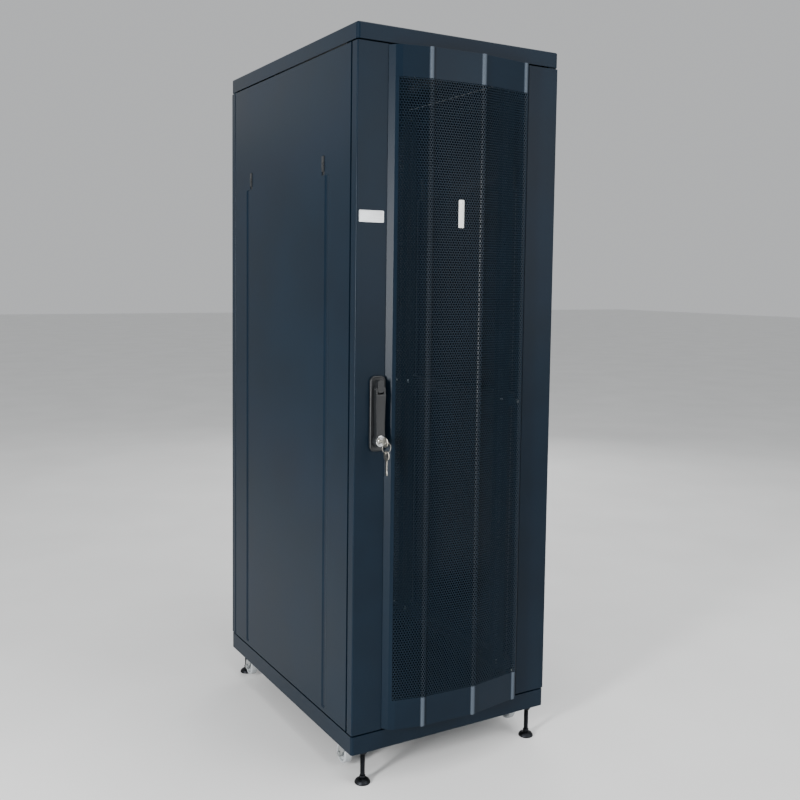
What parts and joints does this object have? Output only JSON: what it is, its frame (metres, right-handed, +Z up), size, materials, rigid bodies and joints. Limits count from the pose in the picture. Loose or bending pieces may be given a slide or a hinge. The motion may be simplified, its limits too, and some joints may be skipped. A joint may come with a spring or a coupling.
{
  "type": "network server rack cabinet",
  "caption": "Floor-standing 19-inch network rack cabinet with a convex mesh front door, swing handle, lift-off side panels, mesh rear door, casters and levelling feet.",
  "frame": {"origin": "on the floor, under the middle of the cabinet's box", "axes": "+Z up; the front door faces -Y and +X is to the right of someone facing it"},
  "size_m": [0.606, 0.868, 1.8551],
  "materials": {
    "black_powder_coat": "satin",
    "zinc_plated_steel": "satin",
    "black_oxide_steel": "satin",
    "grey_wheel_plastic": "satin",
    "black_plastic": "satin",
    "chromed_zinc": "polished",
    "nickel_steel": "polished",
    "satin_aluminium": "satin",
    "white_plastic": "matt"
  },
  "bodies": {
    "cabinet": {"base_frame": "black_powder_coat", "base_panel": "black_powder_coat", "foot_lock_nuts": "black_oxide_steel", "caster_plates": "zinc_plated_steel", "front_frame": "black_powder_coat", "rear_frame": "black_powder_coat", "hex_bolts": "zinc_plated_steel", "top_cover": "black_powder_coat", "roof_entry_covers": "black_powder_coat", "pan_head_screws": "zinc_plated_steel", "front_hinge_brackets": "black_powder_coat", "rear_hinge_brackets": "black_powder_coat", "depth_beam_bottom_left": "black_powder_coat", "depth_beam_bottom_right": "black_powder_coat", "depth_beam_middle_left": "black_powder_coat", "depth_beam_middle_right": "black_powder_coat", "depth_beam_top_left": "black_powder_coat", "depth_beam_top_right": "black_powder_coat", "mounting_rail_front_left": "black_powder_coat", "mounting_rail_front_right": "black_powder_coat", "mounting_rail_rear_left": "black_powder_coat", "mounting_rail_rear_right": "black_powder_coat"},
    "front_door": {"front_door_frame": "black_powder_coat", "front_door_skin": "black_powder_coat", "front_hinge_pins": "zinc_plated_steel", "label_plate": "satin_aluminium", "tag_strip": "white_plastic", "handle_base": "black_plastic"},
    "handle_rotor": {"handle_rotor": "black_plastic", "handle_cam": "zinc_plated_steel", "lever_pivot_pin": "zinc_plated_steel"},
    "handle_lever": {"handle_lever": "black_plastic"},
    "lock_cylinder": {"lock_cylinder": "chromed_zinc", "key": "nickel_steel"},
    "key_ring": {"key_ring": "nickel_steel", "spare_key": "nickel_steel"},
    "rear_door": {"rear_door_frame": "black_powder_coat", "rear_door_mesh": "black_powder_coat", "rear_hinge_pins": "zinc_plated_steel", "rear_lock_barrel": "chromed_zinc"},
    "rear_lock": {"rear_lock_plug": "chromed_zinc", "rear_lock_cam": "zinc_plated_steel"},
    "side_panel_left": {"side_panel_left": "black_powder_coat"},
    "side_latch_front_left": {"side_latch_front_left": "black_plastic"},
    "side_latch_rear_left": {"side_latch_rear_left": "black_plastic"},
    "side_panel_right": {"side_panel_right": "black_powder_coat"},
    "side_latch_front_right": {"side_latch_front_right": "black_plastic"},
    "side_latch_rear_right": {"side_latch_rear_right": "black_plastic"},
    "levelling_foot_front_left": {"levelling_foot_front_left": "black_oxide_steel"},
    "levelling_foot_front_right": {"levelling_foot_front_right": "black_oxide_steel"},
    "levelling_foot_rear_left": {"levelling_foot_rear_left": "black_oxide_steel"},
    "levelling_foot_rear_right": {"levelling_foot_rear_right": "black_oxide_steel"},
    "caster_fork_front_left": {"caster_fork_front_left": "zinc_plated_steel"},
    "caster_wheel_front_left": {"caster_wheel_front_left": "grey_wheel_plastic"},
    "caster_fork_front_right": {"caster_fork_front_right": "zinc_plated_steel"},
    "caster_wheel_front_right": {"caster_wheel_front_right": "grey_wheel_plastic"},
    "caster_fork_rear_left": {"caster_fork_rear_left": "zinc_plated_steel"},
    "caster_wheel_rear_left": {"caster_wheel_rear_left": "grey_wheel_plastic"},
    "caster_fork_rear_right": {"caster_fork_rear_right": "zinc_plated_steel"},
    "caster_wheel_rear_right": {"caster_wheel_rear_right": "grey_wheel_plastic"}
  },
  "joints": [
    {"name": "front_door_swing", "type": "hinge", "parent": "cabinet", "child": "front_door", "pos_m": [0.291, -0.359, 0.968], "axis": [0, 0, 1], "range_deg": [0, 115]},
    {"name": "rear_door_swing", "type": "hinge", "parent": "cabinet", "child": "rear_door", "pos_m": [-0.291, 0.415, 0.968], "axis": [0, 0, 1], "range_deg": [0, 115]},
    {"name": "handle_turn", "type": "hinge", "parent": "front_door", "child": "handle_rotor", "pos_m": [-0.239, -0.38, 1.001], "axis": [0, 1, 0], "range_deg": [0, 90]},
    {"name": "handle_lift", "type": "hinge", "parent": "handle_rotor", "child": "handle_lever", "pos_m": [-0.239, -0.3865, 0.99], "axis": [-1, 0, 0], "range_deg": [0, 50]},
    {"name": "key_turn", "type": "hinge", "parent": "handle_lever", "child": "lock_cylinder", "pos_m": [-0.239, -0.397, 0.865], "axis": [0, -1, 0], "range_deg": [0, 90]},
    {"name": "key_ring_swing", "type": "hinge", "parent": "lock_cylinder", "child": "key_ring", "pos_m": [-0.239, -0.422, 0.865], "axis": [0, 1, 0], "range_deg": [-45, 45]},
    {"name": "rear_lock_turn", "type": "hinge", "parent": "rear_door", "child": "rear_lock", "pos_m": [0.239, 0.428, 0.935], "axis": [0, 1, 0], "range_deg": [0, 90]},
    {"name": "side_panel_left_tilt", "type": "hinge", "parent": "cabinet", "child": "side_panel_left", "pos_m": [-0.3, 0.028, 0.135], "axis": [0, -1, 0], "range_deg": [0, 15]},
    {"name": "side_latch_front_left_slide", "type": "slide", "parent": "side_panel_left", "child": "side_latch_front_left", "axis": [0, 0, -1], "range_m": [0, 0.008], "stiffness_N_per_m": 400, "springref_m": -0.004},
    {"name": "side_latch_rear_left_slide", "type": "slide", "parent": "side_panel_left", "child": "side_latch_rear_left", "axis": [0, 0, -1], "range_m": [0, 0.008], "stiffness_N_per_m": 400, "springref_m": -0.004},
    {"name": "side_panel_right_tilt", "type": "hinge", "parent": "cabinet", "child": "side_panel_right", "pos_m": [0.3, 0.028, 0.135], "axis": [0, 1, 0], "range_deg": [0, 15]},
    {"name": "side_latch_front_right_slide", "type": "slide", "parent": "side_panel_right", "child": "side_latch_front_right", "axis": [0, 0, -1], "range_m": [0, 0.008], "stiffness_N_per_m": 400, "springref_m": -0.004},
    {"name": "side_latch_rear_right_slide", "type": "slide", "parent": "side_panel_right", "child": "side_latch_rear_right", "axis": [0, 0, -1], "range_m": [0, 0.008], "stiffness_N_per_m": 400, "springref_m": -0.004},
    {"name": "levelling_foot_front_left_height", "type": "slide", "parent": "cabinet", "child": "levelling_foot_front_left", "axis": [0, 0, 1], "range_m": [-0.02, 0.01]},
    {"name": "levelling_foot_front_right_height", "type": "slide", "parent": "cabinet", "child": "levelling_foot_front_right", "axis": [0, 0, 1], "range_m": [-0.02, 0.01]},
    {"name": "levelling_foot_rear_left_height", "type": "slide", "parent": "cabinet", "child": "levelling_foot_rear_left", "axis": [0, 0, 1], "range_m": [-0.02, 0.01]},
    {"name": "levelling_foot_rear_right_height", "type": "slide", "parent": "cabinet", "child": "levelling_foot_rear_right", "axis": [0, 0, 1], "range_m": [-0.02, 0.01]},
    {"name": "caster_swivel_front_left", "type": "hinge", "parent": "cabinet", "child": "caster_fork_front_left", "pos_m": [-0.262, -0.284, 0.076], "axis": [0, 0, 1], "continuous": true},
    {"name": "caster_roll_front_left", "type": "hinge", "parent": "caster_fork_front_left", "child": "caster_wheel_front_left", "pos_m": [-0.262, -0.264, 0.038], "axis": [1, 0, 0], "continuous": true},
    {"name": "caster_swivel_front_right", "type": "hinge", "parent": "cabinet", "child": "caster_fork_front_right", "pos_m": [0.262, -0.284, 0.076], "axis": [0, 0, 1], "continuous": true},
    {"name": "caster_roll_front_right", "type": "hinge", "parent": "caster_fork_front_right", "child": "caster_wheel_front_right", "pos_m": [0.262, -0.264, 0.038], "axis": [1, 0, 0], "continuous": true},
    {"name": "caster_swivel_rear_left", "type": "hinge", "parent": "cabinet", "child": "caster_fork_rear_left", "pos_m": [-0.262, 0.34, 0.076], "axis": [0, 0, 1], "continuous": true},
    {"name": "caster_roll_rear_left", "type": "hinge", "parent": "caster_fork_rear_left", "child": "caster_wheel_rear_left", "pos_m": [-0.262, 0.36, 0.038], "axis": [1, 0, 0], "continuous": true},
    {"name": "caster_swivel_rear_right", "type": "hinge", "parent": "cabinet", "child": "caster_fork_rear_right", "pos_m": [0.262, 0.34, 0.076], "axis": [0, 0, 1], "continuous": true},
    {"name": "caster_roll_rear_right", "type": "hinge", "parent": "caster_fork_rear_right", "child": "caster_wheel_rear_right", "pos_m": [0.262, 0.36, 0.038], "axis": [1, 0, 0], "continuous": true}
  ]
}
